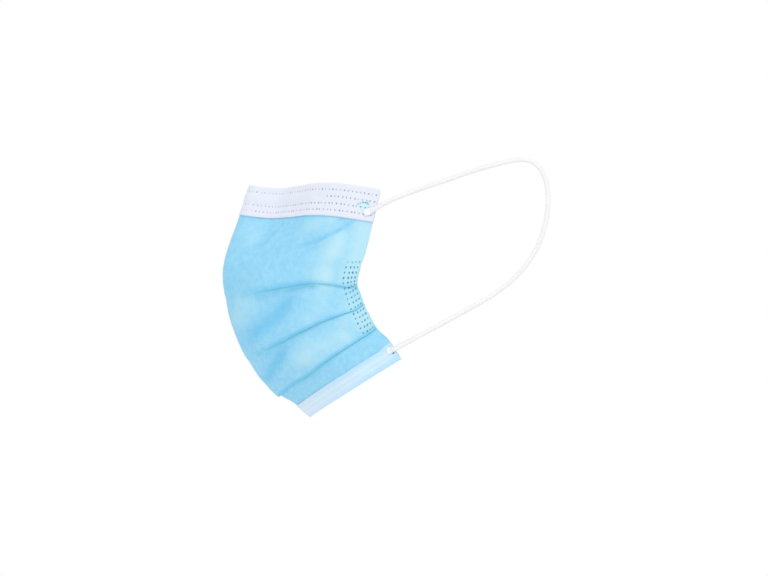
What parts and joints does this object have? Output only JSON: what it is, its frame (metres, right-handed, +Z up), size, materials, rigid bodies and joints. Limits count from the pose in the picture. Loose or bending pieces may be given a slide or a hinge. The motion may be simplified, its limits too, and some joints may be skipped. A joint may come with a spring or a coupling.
{
  "type": "pleated surgical face mask",
  "caption": "Pleated ear-loop face mask in its worn shape, with a bound top edge that bends over the nose and a folded chin hem.",
  "frame": {"origin": "inner face of the top binding over the nose bridge, half way down the binding, on the middle plane", "axes": "+Z up, the wearer faces -Y, +X is the wearer's left"},
  "size_m": [0.1236, 0.1676, 0.1325],
  "materials": {
    "filter_cloth": "matte nonwoven, pale blue",
    "binding_cloth": "matte nonwoven, white with a blue tint",
    "hem_cloth": "matte nonwoven, white over pale blue",
    "elastic": "matte knitted elastic, white",
    "wire_coat": "satin, white"
  },
  "bodies": {
    "root": {"pleated_panel": "filter_cloth", "nose_binding": "binding_cloth", "nose_wire": "wire_coat", "chin_hem": "hem_cloth", "ear_loop_left": "elastic", "ear_loop_right": "elastic", "loop_end_top_left": "elastic", "loop_end_top_right": "elastic", "loop_end_low_left": "elastic", "loop_end_low_right": "elastic"}
  },
  "joints": []
}
